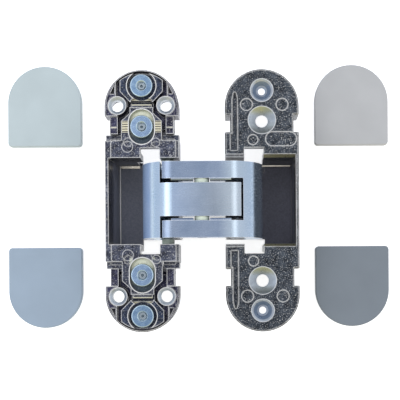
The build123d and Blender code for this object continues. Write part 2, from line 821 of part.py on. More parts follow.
def make_round(place, steps, hole=0.0):
    """Turned part along y at this x-z place: steps are (diameter, y start, y end)."""
    with BuildPart() as turned:
        for diameter, y0, y1 in steps:
            with BuildSketch(section(y1)):
                with Locations(place):
                    Circle(diameter / 2)
                    if hole:
                        Circle(hole / 2, mode=Mode.SUBTRACT)
            extrude(amount=y1 - y0)
    return turned


for side, place in ((frame, "frame"), (door, "door")):
    reach = web_half - 0.2
    pin = make_round(spot(side, pivot_x, pivot_z), [(pivot_pin, -reach, reach)])
    pin.part.label = f"{place}_pivot_pin"
    export_step(pin.part, f"parts/{place}_pivot_pin.step")

    for end, name in ((1, "top"), (-1, "bottom")):
        inner, seat = eye_length / 2 - bush_length, eye_length / 2
        sleeve = sorted((end * inner, end * seat))
        flange = sorted((end * seat, end * (seat + bush_flange_thick)))
        bush = make_round(
            spot(side, pivot_x, pivot_z),
            [(bush_outer, *sleeve), (bush_flange, *flange)],
            hole=pivot_pin + 2 * running_clearance,
        )
        bush.part.label = f"{place}_pivot_bush_{name}"
        export_step(bush.part, f"parts/{place}_pivot_bush_{name}.step")

cross_place = (half_spacing, cross_z)
centre_pin = make_round(cross_place, [(cross_pin, 0.3 - arm_height / 2, arm_height / 2 - 0.3)])
centre_pin.part.label = "centre_pin"
export_step(centre_pin.part, "parts/centre_pin.step")

tongue_reach = cheek_outer - 2.3
tongue_pin = make_round(spot(door, guide_x, guide_z), [(guide_pin, -tongue_reach, tongue_reach)])
tongue_pin.part.label = "tongue_guide_pin"
export_step(tongue_pin.part, "parts/tongue_guide_pin.step")

for end, name in ((1, "top"), (-1, "bottom")):
    gap = (tongue_width / 2 + side_clearance, arm_height / 2 - prong_width - side_clearance)
    washer = make_round(
        cross_place,
        [(cross_washer, *sorted((end * gap[0], end * gap[1])))],
        hole=cross_pin + 2 * running_clearance,
    )
    washer.part.label = f"centre_washer_{name}"
    export_step(washer.part, f"parts/centre_washer_{name}.step")

    stub = (arm_height / 2 - prong_width + 0.4, window_half - 1.2)
    guide = make_round(spot(frame, guide_x, guide_z), [(guide_pin, *sorted((end * stub[0], end * stub[1])))])
    guide.part.label = f"prong_guide_pin_{name}"
    export_step(guide.part, f"parts/prong_guide_pin_{name}.step")

    space = (arm_height / 2 + side_clearance, pocket_half - 2 * side_clearance)
    collar = make_round(
        spot(frame, guide_x, guide_z),
        [(guide_collar, *sorted((end * space[0], end * space[1])))],
        hole=guide_pin + 2 * seat_clearance,
    )
    collar.part.label = f"guide_collar_{name}"
    export_step(collar.part, f"parts/guide_collar_{name}.step")


# Cover caps: D-shaped, lying loose at the four corners on their rims


def make_cap(x, y, end):
    """Cap with its round end pointing toward y = end, resting on its rim."""
    straight = cap_length - cap_width / 2
    with BuildPart() as cap:
        with BuildSketch(level(-body_depth)) as outline:
            with Locations((x, y + end * (cap_length - cap_width) / 2)):
                Circle(cap_width / 2)
            with Locations((x, y - end * (cap_length - straight) / 2)):
                Rectangle(cap_width, straight)
        extrude(amount=cap_height)
        flat_side = cap.edges().filter_by(Axis.Z).group_by(Axis.Y)[0 if end > 0 else -1]
        fillet(flat_side, radius=cap_corner)
        top_edges = cap.faces().sort_by(Axis.Z)[-1].edges()
        fillet(top_edges, radius=cap_edge_round)
        with BuildSketch(level(-body_depth)):
            add(outline.sketch)
            offset(amount=-cap_rim, mode=Mode.REPLACE)
        extrude(amount=cap_height - cap_plate, mode=Mode.SUBTRACT)
        # clips that snap into the side notches
        for way in (-1, 1):
            with BuildSketch(level(-body_depth)):
                clip_x = x + way * (cap_width / 2 - cap_rim - cap_clip_deep / 2)
                with Locations((clip_x, y - end * cap_clip_offset)):
                    Rectangle(cap_clip_deep, cap_clip_length)
            extrude(amount=cap_height - cap_plate)
    return cap


for x, side_name in ((-45.7, "frame"), (91.3, "door")):
    for y, end, end_name in ((44.8, 1, "top"), (-36.2, -1, "bottom")):
        cap = make_cap(x, y, end)
        cap.part.label = f"cover_cap_{side_name}_{end_name}"
        export_step(cap.part, f"parts/cover_cap_{side_name}_{end_name}.step")
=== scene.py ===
import json
from math import radians

import bmesh
import bpy
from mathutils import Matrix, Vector


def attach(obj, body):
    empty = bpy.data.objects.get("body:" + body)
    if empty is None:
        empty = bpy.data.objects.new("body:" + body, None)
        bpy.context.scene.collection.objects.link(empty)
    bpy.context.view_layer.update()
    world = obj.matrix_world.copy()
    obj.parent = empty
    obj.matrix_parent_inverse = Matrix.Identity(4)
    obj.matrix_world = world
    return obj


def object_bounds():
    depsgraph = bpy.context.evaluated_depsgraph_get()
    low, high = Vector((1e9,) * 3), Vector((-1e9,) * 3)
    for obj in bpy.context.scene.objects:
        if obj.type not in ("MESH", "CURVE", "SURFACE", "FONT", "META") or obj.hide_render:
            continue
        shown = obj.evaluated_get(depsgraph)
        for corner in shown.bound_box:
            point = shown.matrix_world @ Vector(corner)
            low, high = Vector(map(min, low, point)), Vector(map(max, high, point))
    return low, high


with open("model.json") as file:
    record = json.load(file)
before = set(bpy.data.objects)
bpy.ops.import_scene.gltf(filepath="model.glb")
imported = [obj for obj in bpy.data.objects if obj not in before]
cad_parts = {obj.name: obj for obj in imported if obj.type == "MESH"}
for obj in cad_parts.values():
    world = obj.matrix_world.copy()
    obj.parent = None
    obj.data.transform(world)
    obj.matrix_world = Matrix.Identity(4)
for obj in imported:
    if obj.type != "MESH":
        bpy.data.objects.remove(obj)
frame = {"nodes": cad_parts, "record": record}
cad_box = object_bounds()

mm = 0.001

# Places in mm in the row frame
half_spacing = 25.2  # from a housing's centre to the middle between them
pocket_half = 18.1  # half the length of the pockets
pocket_mouth = 10.2  # from the middle to the inside of the pockets' front walls
pocket_reach = 40.0  # from the middle to within the pockets' back walls
floor_top = -27.0
back = -28.45
recess_y = 31.1  # height clamp screws and their recesses
lateral_y = 48.2  # lateral clamp screws
cone_foot = -5.4  # where the bare metal of the countersinks ends


# Nodes. Every pattern is placed by object coordinates, which are the row frame at rest.


class Nodes:
    """A material's node tree with one Principled shader, and short calls that add to it."""

    def __init__(self, name):
        self.material = bpy.data.materials.new(name)
        self.material.use_nodes = True
        self.tree = self.material.node_tree
        self.shader = self.tree.nodes["Principled BSDF"]
        self.place = self.add("ShaderNodeTexCoord").outputs["Object"]

    def add(self, kind, **settings):
        """New node of this kind with these attributes set."""
        node = self.tree.nodes.new(kind)
        for key, value in settings.items():
            setattr(node, key, value)
        return node

    def link(self, source, target):
        self.tree.links.new(source, target)

    def feed(self, socket, value):
        """A number or colour is set on the socket, and an output is linked to it."""
        if isinstance(value, bpy.types.NodeSocket):
            self.link(value, socket)
        else:
            socket.default_value = value

    def noise(self, size, detail=3.0, rough=0.55, stretch=(1, 1, 1)):
        """Noise with features of about this size in metres, longer where stretch is above 1."""
        mapping = self.add("ShaderNodeMapping")
        mapping.inputs["Scale"].default_value = [1 / s for s in stretch]
        self.link(self.place, mapping.inputs["Vector"])
        node = self.add("ShaderNodeTexNoise")
        self.link(mapping.outputs["Vector"], node.inputs["Vector"])
        node.inputs["Scale"].default_value = 1 / size
        node.inputs["Detail"].default_value = detail
        node.inputs["Roughness"].default_value = rough
        return node.outputs["Fac"]

    def span(self, value, low, high, to_low=0.0, to_high=1.0):
        """Maps low..high to the new range, clamped."""
        node = self.add("ShaderNodeMapRange")
        self.feed(node.inputs["Value"], value)
        for key, number in zip(("From Min", "From Max", "To Min", "To Max"), (low, high, to_low, to_high)):
            self.feed(node.inputs[key], number)
        return node.outputs["Result"]

    def math(self, operation, a, b=0.0):
        """One step of arithmetic on numbers or outputs."""
        node = self.add("ShaderNodeMath", operation=operation)
        self.feed(node.inputs[0], a)
        self.feed(node.inputs[1], b)
        return node.outputs[0]

    def mix(self, share, a, b):
        """Colour that goes from a to b as share goes from 0 to 1."""
        node = self.add("ShaderNodeMix", data_type="RGBA")
        self.feed(node.inputs[0], share)
        for socket, colour in ((node.inputs[6], a), (node.inputs[7], b)):
            self.feed(socket, colour if isinstance(colour, bpy.types.NodeSocket) else (*colour, 1))
        return node.outputs[2]

    def coordinate(self, axis):
        """The x, y or z place of a point, in metres."""
        node = self.add("ShaderNodeSeparateXYZ")
        self.link(self.place, node.inputs[0])
        return node.outputs["XYZ".index(axis)]

    def edge(self, radius):
        """1 on corners of the form and 0 away from them."""
        bevel = self.add("ShaderNodeBevel", samples=6)
        bevel.inputs["Radius"].default_value = radius
        geometry = self.add("ShaderNodeNewGeometry")
        product = self.add("ShaderNodeVectorMath", operation="DOT_PRODUCT")
        self.link(bevel.outputs["Normal"], product.inputs[0])
        self.link(geometry.outputs["Normal"], product.inputs[1])
        return self.span(product.outputs["Value"], 0.99, 0.92)

    def shade_of_corners(self, reach, darkest):
        """1 in the open, falling to darkest deep in grooves and corners."""
        node = self.add("ShaderNodeAmbientOcclusion", samples=6)
        node.inputs["Distance"].default_value = reach
        return self.span(node.outputs["AO"], 0.2, 0.85, darkest, 1.0)

    def within(self, value, low, high, soft=0.08):
        """1 where the value lies between two places in mm, with a soft change at both."""
        inside = self.span(value, (low - soft) * mm, (low + soft) * mm)
        return self.times(inside, self.span(value, (high + soft) * mm, (high - soft) * mm))

    def size_of(self, value):
        """The value without its sign."""
        return self.math("ABSOLUTE", value)

    def from_axis(self, x, y, half_x=0.0, half_y=0.0, both_ends=True):
        """Distance from the upright axis at x and y in mm, or at -y too, or from a stretch around it."""
        along = self.size_of(self.coordinate("Y")) if both_ends else self.coordinate("Y")
        away = []
        for place, centre, half in ((self.coordinate("X"), x, half_x), (along, y, half_y)):
            offset = self.size_of(self.math("SUBTRACT", place, centre * mm))
            away.append(self.math("MAXIMUM", self.math("SUBTRACT", offset, half * mm), 0.0))
        return self.math("SQRT", self.math("ADD", self.times(away[0], away[0]), self.times(away[1], away[1])))

    def outline(self, colour, distance, radius, strength=0.5):
        """Thin bright line at this radius in mm, on the faces only: a painted highlight on a rim."""
        half_width = 0.15
        line = self.times(self.within(distance, radius - half_width, radius + half_width), strength)
        on_face = self.span(self.coordinate("Z"), -1.0 * mm, -0.7 * mm)
        return self.mix(self.times(line, on_face), colour, grain_and_highlight_metal)

    def from_holes(self, mount):
        """Distance from the axis of the nearest hole of a bolt pattern."""
        dims = mount["dims"]
        away = []
        for axis, place in zip("XY", mount["pos_m"]):
            half = dims.get(f"spacing_{axis.lower()}_mm", 0) / 2 * mm
            offset = self.size_of(self.math("SUBTRACT", self.coordinate(axis), place))
            away.append(self.math("POWER", self.size_of(self.math("SUBTRACT", offset, half)), 2.0))
        return self.math("SQRT", self.math("ADD", *away))

    def times(self, *factors):
        """Product of two or more numbers or outputs."""
        product = factors[0]
        for factor in factors[1:]:
            product = self.math("MULTIPLY", product, factor)
        return product

    def bump(self, height, depth, strength=1.0):
        node = self.add("ShaderNodeBump")
        node.inputs["Strength"].default_value = strength
        node.inputs["Distance"].default_value = depth
        self.link(height, node.inputs["Height"])
        self.link(node.outputs["Normal"], self.shader.inputs["Normal"])

    def finish(self, colour, metallic, roughness):
        for key, value in (("Base Color", colour), ("Metallic", metallic), ("Roughness", roughness)):
            if isinstance(value, tuple):
                value = (*value, 1)
            self.feed(self.shader.inputs[key], value)
        return self.material


def srgb(r, g, b):
    """Linear colour of an 8-bit screen colour."""
    def linear(v):
        v /= 255
        return v / 12.92 if v <= 0.04045 else ((v + 0.055) / 1.055) ** 2.4
    return tuple(linear(v) for v in (r, g, b))


def cast_zinc(name, dark, mid, grain, floor, holes=(), details=None):
    """Dark plated casting: blotched satin faces, corners brightened with a painted highlight, matt gritty
    insides of the pockets painted lighter than their own tone to make up for the shade there.

    holes lists (mount, radius in mm, tone): a bare-metal tone out to this radius around each hole, with a
    painted highlight ring at its rim.
    details(nodes, colour) lays local tones over the colour.
    """
    shade_start, shade_end = -9, -15  # mm, between these the pocket takes on its own tone
    rim_width = 0.2  # mm
    n = Nodes(name)
    blotch = n.span(n.noise(3.0 * mm, detail=8, rough=0.75), 0.4, 0.62)
    speck = n.span(n.noise(0.55 * mm, detail=3, rough=0.7), 0.56, 0.68)
    face = n.mix(n.times(speck, grain), n.mix(blotch, dark, mid), grain_and_highlight_metal)
    from_middle = n.size_of(n.math("SUBTRACT", n.coordinate("X"), half_spacing * mm))
    in_pocket = n.times(
        n.within(from_middle, pocket_mouth, pocket_reach),
        n.within(n.size_of(n.coordinate("Y")), -1, pocket_half + 0.15),
        n.within(n.coordinate("Z"), floor_top - 0.8, 0),
    )
    # Deep in the pockets the colour turns to the floor tone: matt grit, painted lighter than the casting's
    # own colour to make up for the shade in the pocket.
    depth = n.times(n.span(n.coordinate("Z"), shade_start * mm, shade_end * mm), in_pocket)
    grit = n.span(n.noise(0.7 * mm, detail=4), 0.35, 0.65)
    face = n.mix(depth, face, n.mix(grit, tuple(0.78 * c for c in floor), floor))
    # Painted highlight on the corners of the form, weaker deep in the pockets.
    edge = n.times(n.edge(0.75 * mm), n.span(blotch, 0, 1, 0.7, 1.0))
    edge = n.times(edge, n.span(depth, 0, 1, 1.0, 0.3))
    colour = n.mix(edge, face, grain_and_highlight_metal)
    metallic = n.times(n.span(depth, 0, 1, 0.85, 0.1), n.span(edge, 0, 1, 1.0, 0.2))
    shallow = n.span(n.coordinate("Z"), cone_foot * mm, (cone_foot + 0.3) * mm)
    for mount, radius, tone in holes:
        away = n.from_holes(mounts[mount])
        near = n.span(away, (radius + 0.05) * mm, (radius - 0.15) * mm)
        colour = n.mix(n.times(near, shallow), colour, n.mix(blotch, tone, tuple(0.8 * c for c in tone)))
        # Painted highlight ring at the rim of each hole.
        rim = n.within(away, radius - rim_width, radius)
        colour = n.mix(n.times(rim, shallow, 0.7), colour, grain_and_highlight_metal)
    if details:
        colour = details(n, colour)
    colour = n.mix(n.shade_of_corners(2.0 * mm, 0.3), (0.004, 0.004, 0.008), colour)
    satin = n.span(n.noise(1.1 * mm), 0.3, 0.7, 0.25, 0.4)
    roughness = n.math("ADD", satin, n.times(depth, 0.3))
    n.bump(n.noise(0.9 * mm, detail=5, rough=0.65), 0.08 * mm, strength=0.5)
    return n.finish(colour, metallic, roughness)


def above_centre(n, y):
    """How far a point lies above the axes at y and -y in the picture, in metres."""
    return n.math("SUBTRACT", n.coordinate("Y"), n.times(n.math("SIGN", n.coordinate("Y")), y * mm))


def carriage_tones(n, colour):
    """Recesses painted light at their upper end and shaded at their lower end, the scale bars, a painted warm
    highlight on the lips of the carriage tabs, and painted highlight rings round the recess and the marks.
    """
    recess_depth, recess_half_width, recess_half_length, recess_radius = 2.3, 5.35, 7.4, 5.5  # mm
    bar_start, bar_end, bar_half_length = 5.6, 8.2, 2.4
    lip_start, lip_end = 40.2, 41.0
    marks = ((-6.0, 22.7, 2.3), (5.9, 24.5, 1.8))  # x, y and radius
    y, z = n.coordinate("Y"), n.coordinate("Z")
    wide, long = n.size_of(n.coordinate("X")), n.size_of(y)
    from_recess = n.size_of(n.math("SUBTRACT", long, recess_y * mm))
    sunk = n.times(
        n.within(z, -recess_depth, -0.15),
        n.within(wide, -1, recess_half_width),
        n.within(from_recess, -1, recess_half_length),
    )
    # Painted light and shade on the recess floor: light at its upper end, shaded at its lower end.
    painted_recess_light = n.span(above_centre(n, recess_y), -4.5 * mm, 4.5 * mm)
    colour = n.mix(n.times(sunk, 0.8), colour, n.mix(painted_recess_light, srgb(66, 78, 84), srgb(238, 240, 214)))
    beside_recess = n.within(y, recess_y - bar_half_length, recess_y + bar_half_length)
    bars = n.times(n.within(wide, bar_start, bar_end), beside_recess)
    colour = n.mix(n.times(bars, n.within(z, -0.05, 1)), colour, srgb(226, 218, 186))
    colour = n.mix(n.times(bars, n.within(z, -0.3, -0.1)), colour, srgb(60, 54, 52))
    # Painted warm highlight on the lips of the tabs.
    colour = n.mix(n.times(n.within(long, lip_start, lip_end), 0.75), colour, srgb(212, 206, 176))
    colour = n.outline(colour, n.from_axis(0, recess_y, half_y=2.0), recess_radius, 0.85)
    for x, y, radius in marks:
        colour = n.outline(colour, n.from_axis(x, y), radius)
    return colour


def slide_tones(n, colour):
    """Painted warm glint on the step that faces the carriage tab, and a painted highlight on the rim of the
    screw's seat.
    """
    step_start, step_end = 42.2, 43.0  # mm
    seat_radius = 6.2
    along = n.within(n.size_of(n.coordinate("Y")), step_start, step_end)
    step = n.times(along, n.within(n.coordinate("Z"), -1.5, -0.3))
    colour = n.mix(n.times(step, 0.7), colour, srgb(190, 182, 142))
    return n.outline(colour, n.from_axis(0, lateral_y), seat_radius, 0.85)


def mount_tones(n, colour):
    """Reference lines on the upper side arms."""
    line_start, line_end = 30.6, 31.4  # mm
    along = n.within(n.coordinate("Y"), line_start, line_end)
    line = n.times(n.within(n.coordinate("Z"), -1.5, -1.28, 0.03), along)
    return n.mix(line, colour, srgb(226, 220, 200))


def door_tones(n, colour):
    """Painted warm glint on the bevelled ends of the pocket, countersinks painted light and warm on their
    upper side and shaded on their lower side, and painted highlight rings round the mould marks.
    """
    marks = ((44.0, 40.1, 2.5), (58.9, 40.1, 2.5), (46.6, 25.4, 2.1))  # x, y and radius in mm
    oval_x, oval_y, oval_radius, oval_half_straight = 58.4, 25.7, 2.95, 3.55
    bevel = n.times(
        n.within(n.size_of(n.coordinate("Y")), pocket_half + 0.05, pocket_half + 1.15),
        n.within(n.coordinate("Z"), -2.3, -0.1),
        n.within(n.coordinate("X"), 51.2, 64.4),
    )
    colour = n.mix(n.times(bevel, 0.85), colour, srgb(206, 200, 160))
    fixing = mounts["door_fixing"]
    cone = n.span(n.from_holes(fixing), 5.75 * mm, 5.6 * mm)
    above = above_centre(n, fixing["dims"]["spacing_y_mm"] / 2)
    # Painted light and shade: the upper side of the countersink warm and light, the lower side shaded.
    colour = n.mix(n.times(cone, n.span(above, 2.2 * mm, 4.6 * mm)), colour, srgb(192, 194, 166))
    colour = n.mix(n.times(cone, n.span(above, -2.0 * mm, -4.6 * mm)), colour, srgb(128, 132, 136))
    for x, y, radius in marks:
        colour = n.outline(colour, n.from_axis(x, y), radius)
    oval = n.from_axis(oval_x, oval_y, half_x=oval_half_straight, both_ends=False)
    return n.outline(colour, oval, oval_radius)


def arm_plating(name, tones, outer, inner, satin):
    """Satin blue-grey plating of one arm with faint drawn lines.

    tones lists (x in mm, colour): the colour at that x, with a steady change from one to the next; it is the
    plating's tone with painted highlights and reflections in bands where the arm bends.
    It turns from satin to mirror-like between x = outer, at the back of the column, and x = inner.
    """
    n = Nodes(name)
    cloud = n.span(n.noise(9 * mm, detail=3), 0.35, 0.65)
    drawn = n.noise(0.35 * mm, detail=3, stretch=(14, 1, 1))
    colour = tones[0][1]
    for (start, _), (stop, tone) in zip(tones, tones[1:]):
        colour = n.mix(n.span(n.coordinate("X"), start * mm, stop * mm), colour, tone)
    colour = n.mix(n.times(cloud, 0.1), colour, srgb(240, 246, 255))
    # Painted highlight on the arm's edges.
    colour = n.mix(n.times(n.edge(0.3 * mm), 0.8), colour, srgb(240, 244, 250))
    roughness = n.span(drawn, 0.3, 0.7, 0.25, 0.28)
    n.bump(drawn, 0.006 * mm, strength=0.1)
    return n.finish(colour, n.span(n.coordinate("X"), outer * mm, inner * mm, satin, 1.0), roughness)


def blue_zinc(name, y, low, high):
    """Blue zinc plating of the screws at y and -y, with a painted highlight on the rim and on a ring around
    the socket.
    """
    rim_start, head_radius = 4.3, 5.0  # mm
    ring_start, ring_end = 1.75, 2.25
    socket_radius = 1.6
    n = Nodes(name)
    cloud = n.span(n.noise(1.6 * mm, detail=3), 0.35, 0.65)
    colour = n.mix(cloud, low, high)
    radius = n.from_axis(0, y)
    # Colour of the painted highlights on the rim and the ring.
    light = srgb(196, 214, 220)
    colour = n.mix(n.times(n.within(radius, rim_start, head_radius), 0.75), colour, light)
    colour = n.mix(n.times(n.within(radius, ring_start, ring_end), 0.9), colour, light)
    colour = n.mix(n.within(radius, -1, socket_radius), colour, srgb(150, 160, 166))
    # Painted highlight on the screws' edges.
    colour = n.mix(n.times(n.edge(0.25 * mm), 0.5), colour, srgb(225, 235, 240))
    roughness = n.span(n.noise(0.6 * mm), 0.3, 0.7, 0.2, 0.3)
    n.bump(n.noise(0.3 * mm, detail=2), 0.015 * mm, strength=0.4)
    return n.finish(colour, 1.0, roughness)


def plain_steel(name, colour):
    n = Nodes(name)
    drawn = n.noise(0.3 * mm, detail=2, stretch=(1, 10, 1))
    n.bump(drawn, 0.01 * mm, strength=0.3)
    shade = n.mix(n.span(n.noise(2 * mm), 0.35, 0.65), colour, tuple(0.8 * c for c in colour))
    return n.finish(shade, 1.0, n.span(drawn, 0.3, 0.7, 0.22, 0.36))


def bearing_plastic(name, colour):
    n = Nodes(name)
    shade = n.mix(n.span(n.noise(1.5 * mm), 0.35, 0.65), colour, tuple(0.88 * c for c in colour))
    n.bump(n.noise(0.2 * mm), 0.01 * mm, strength=0.3)
    return n.finish(shade, 0.0, 0.5)


def cap_coating(name, colour):
    """Satin metallic coating of one cover cap."""
    n = Nodes(name)
    cloud = n.span(n.noise(14 * mm, detail=2), 0.35, 0.65)
    grain = n.noise(0.25 * mm, detail=2)
    shade = n.mix(cloud, colour, tuple(min(1.0, 1.06 * c) for c in colour))
    # Painted highlight on the cap's edges.
    shade = n.mix(n.times(n.edge(0.35 * mm), 0.25), shade, (0.85, 0.87, 0.88))
    n.bump(grain, 0.008 * mm, strength=0.3)
    return n.finish(shade, 0.15, n.span(grain, 0.3, 0.7, 0.42, 0.52))


def dress(material, *names):
    """Gives every CAD node whose name starts with one of these names the material."""
    for node, obj in frame["nodes"].items():
        if node.startswith(names):
            obj.data.materials.clear()
            obj.data.materials.append(material)


mounts = {mount["name"]: mount for mount in frame["record"]["mounts"]}
# Bright metal of the cast grain, and of the painted highlights on corners, rims and outlines
grain_and_highlight_metal = srgb(232, 230, 226)
silver = srgb(206, 212, 218)
# Pocket floor tones, painted lighter to make up for the shade in the pockets
left_floor_painted_lighter = srgb(132, 134, 146)
right_floor_painted_lighter = srgb(106, 106, 118)
frame_holes = [("frame_fixing", 3.8, silver)]
door_holes = [
    ("door_fixing", 5.9, silver),
    ("door_locating", 4.9, silver),
    ("door_locating", 4.1, srgb(142, 156, 174)),
    ("door_locating", 2.3, srgb(200, 208, 220)),
]
frame_casting = cast_zinc(
    "frame_casting", srgb(36, 38, 48), srgb(82, 86, 102), 0.6, left_floor_painted_lighter, details=carriage_tones
)
mount_casting = cast_zinc(
    "mount_casting", srgb(32, 32, 46), srgb(66, 66, 90), 0.4, left_floor_painted_lighter, frame_holes, mount_tones
)
slide_casting = cast_zinc(
    "slide_casting", srgb(28, 32, 44), srgb(56, 66, 88), 0.4, left_floor_painted_lighter, details=slide_tones
)
door_casting = cast_zinc(
    "door_casting", srgb(32, 36, 42), srgb(74, 80, 88), 0.7, right_floor_painted_lighter, door_holes, door_tones
)
dress(frame_casting, "frame_housing")
dress(mount_casting, "frame_mount")
dress(slide_casting, "cross_slide")
dress(door_casting, "door_housing")
# Plating tones along x, with painted highlight and reflection bands at the bends
frame_arm_tones_with_highlights = [
    (3.2, srgb(158, 184, 224)),
    (4.6, srgb(192, 213, 230)),
    (10.5, srgb(196, 214, 230)),
    (14.0, srgb(157, 174, 198)),
    (30.0, srgb(143, 154, 167)),
    (38.0, srgb(182, 192, 200)),
]
door_arm_tones_with_highlights = [
    (14.0, srgb(135, 150, 172)),
    (32.0, srgb(135, 150, 172)),
    (38.5, srgb(182, 195, 206)),
    (46.0, srgb(172, 190, 210)),
    (50.0, srgb(158, 172, 192)),
]
frame_plating = arm_plating("frame_arm_plating", frame_arm_tones_with_highlights, 3.5, 6.0, 0.1)
door_plating = arm_plating("door_arm_plating", door_arm_tones_with_highlights, 50.0, 45.0, 0.75)
dress(frame_plating, "frame_arm")
dress(door_plating, "door_arm")
dress(blue_zinc("height_screw_zinc", recess_y, srgb(124, 146, 174), srgb(142, 164, 190)), "height_clamp")
dress(blue_zinc("lateral_screw_zinc", lateral_y, srgb(112, 138, 166), srgb(132, 156, 180)), "lateral_clamp")
dress(plain_steel("pin_steel", srgb(200, 202, 206)), "centre_pin", "frame_pivot_pin", "door_pivot_pin")
dress(plain_steel("guide_steel", srgb(190, 194, 200)), "tongue_guide", "prong_guide")
dress(
    bearing_plastic("bearing_plastic", srgb(222, 232, 214)),
    "centre_washer", "guide_collar", "frame_pivot_bush", "door_pivot_bush",
)
# Lit and shaded copies of one satin coating: each cap is painted lighter or darker by how the light falls on
# it
cap_lit_and_shaded_tones = {
    "cover_cap_frame_top": srgb(190, 202, 204),
    "cover_cap_door_top": srgb(188, 188, 188),
    "cover_cap_frame_bottom": srgb(156, 172, 188),
    "cover_cap_door_bottom": srgb(124, 132, 140),
}
for cap, tone in cap_lit_and_shaded_tones.items():
    dress(cap_coating(cap + "_coating", tone), cap)


# Forms in the castings' corners: floor webs beside the upper windows, fillets at the foot of the pocket
# walls, and the step under the deck. They belong to the castings and ride with them.

wall_end = -3.4  # x from a housing's centre at which the solid's end walls stop
wall_top = -13.9
end_wall_y = 20.6  # outer face of the end walls


def prism(bm, low_ring, high_ring, material_index=0):
    """Closed solid between two rings of points with the same count, in mm."""
    low_verts = [bm.verts.new(Vector(p) * mm) for p in low_ring]
    high_verts = [bm.verts.new(Vector(p) * mm) for p in high_ring]
    faces = [bm.faces.new(low_verts[::-1]), bm.faces.new(high_verts)]
    for i, start in enumerate(low_verts):
        j = (i + 1) % len(low_verts)
        faces.append(bm.faces.new((start, low_verts[j], high_verts[j], high_verts[i])))
    for face in faces:
        face.material_index = material_index


def across(side, x):
    """x in the row frame of a place at x from a housing's centre towards the middle.

    side is -1 for the left housing and 1 for the right one.
    """
    return half_spacing + side * (half_spacing - x)


def along_y(bm, side, profile, y0, y1, material_index=0):
    """Prism along y of a profile in x and z, with x from a housing's centre."""
    rings = [[(across(side, x), y, z) for x, z in profile] for y in (y0, y1)]
    prism(bm, *rings, material_index)


def along_x(bm, side, profile, x0, x1, material_index=0):
    """Prism along x, from a housing's centre, of a profile in y and z."""
    rings = [[(across(side, x), y, z) for y, z in profile] for x in (x0, x1)]
    prism(bm, *rings, material_index)


def make_piece(name, bm, body, slot, *materials):
    """Finished mesh piece that rides with a body."""
    bmesh.ops.recalc_face_normals(bm, faces=bm.faces)
    mesh = bpy.data.meshes.new(name)
    bm.to_mesh(mesh)
    bm.free()
    for material in materials:
        mesh.materials.append(material)
    obj = bpy.data.objects.new(name, mesh)
    bpy.context.scene.collection.objects.link(obj)
    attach(obj, body)


def floor_web(bm, side):
    """Web of the floor beside the upper window."""
    window_edge = -0.6
    web = [(-2.1, back), (window_edge, back), (window_edge, floor_top - 0.3)]
    web += [(window_edge - 0.3, floor_top), (-2.1, floor_top)]
    along_y(bm, side, web, 14.9, pocket_half + 0.1)


def foot_fillets(bm, side, start, stop, width):
    """Fillets at the foot of both end walls, from x = start to stop, in a bright material that paints a
    highlight there.
    """
    for end in (-1, 1):
        foot = end * (pocket_half + 0.1)
        fillet = [
            (foot, floor_top - 0.1),
            (foot, floor_top + 0.5),
            (foot - end * width, floor_top + 0.4),
            (foot - end * (width + 0.2), floor_top - 0.1),
        ]
        along_x(bm, side, fillet, start, stop, material_index=1)


# Bright materials for the fillets and the foot: painted highlights where the pocket floor meets its walls
painted_fillet_highlight = plain_steel("fillet_highlight_steel", srgb(232, 222, 202))
painted_foot_highlight = cap_coating("painted_foot_highlight", srgb(210, 206, 200))

# Frame side: also the step under the deck, the web's toe under the end wall and a foot along the back wall
back_foot = -12.45
step_y = (25.3, 26.6)
step_z = (-5.4, -4.6)
step_spans = ((-13.75, -8.6), (8.6, 13.75))  # in x
bm = bmesh.new()
floor_web(bm, -1)
foot_fillets(bm, -1, back_foot + 0.6, wall_end + 0.1, 1.1)
for end in (-1, 1):
    step = [(end * step_y[0], step_z[0]), (end * step_y[1], step_z[0])]
    step += [(end * step_y[1], step_z[1]), (end * step_y[0], step_z[1])]
    for start, stop in step_spans:
        along_x(bm, -1, step, start, stop)
toe_end = 19.6
toe = [(wall_end - 0.1, back), (-2.0, back), (-2.0, floor_top), (wall_end - 0.1, floor_top)]
along_y(bm, -1, toe, pocket_half - 0.1, toe_end)
# The foot along the back wall is a painted highlight line, in a light matt coating
long_foot = [(back_foot - 0.1, floor_top - 0.1), (back_foot + 0.5, floor_top - 0.1)]
long_foot += [(back_foot + 0.4, floor_top + 0.3), (back_foot - 0.1, floor_top + 0.4)]
along_y(bm, -1, long_foot, -pocket_half, pocket_half, material_index=2)
make_piece("frame_pocket_corners", bm, "carriage", "dark_casting", frame_casting, painted_fillet_highlight, painted_foot_highlight)

# Door side: also a strip that widens both end walls
wall_front = -0.9
bm = bmesh.new()
floor_web(bm, 1)
foot_fillets(bm, 1, -13.5, wall_front, 0.55)
for end in (-1, 1):
    wall = [(wall_end, back), (wall_front, back), (wall_front, wall_top), (wall_end, wall_top)]
    along_y(bm, 1, wall, end * pocket_half, end * end_wall_y)
make_piece("door_pocket_corners", bm, "door_side", "dark_casting", door_casting, painted_fillet_highlight)

# Lands on the inner faces of the two prongs, which narrow the slits beside the tongue and leave room for
# the washers of the centre pin
prong_inner = 8.7
land_face = 7.6
land_top = 6.75
land_bottom = 1.4
land_start = 12.6
land_end = 37.4
washer_room = 3.4
bm = bmesh.new()
for end in (-1, 1):
    land = [(end * prong_inner, land_bottom), (end * land_face, land_bottom)]
    land += [(end * land_face, land_top - 0.75), (end * (land_face + 0.25), land_top - 0.3)]
    land += [(end * (prong_inner - 0.3), land_top), (end * prong_inner, land_top)]
    for start, stop in ((land_start, half_spacing - washer_room), (half_spacing + washer_room, land_end)):
        along_x(bm, -1, land, start, stop)
make_piece("prong_lands", bm, "arm_of_door", "arm_metal", door_plating)


# Floor: white for the camera and for reflections, but still shaded under the object

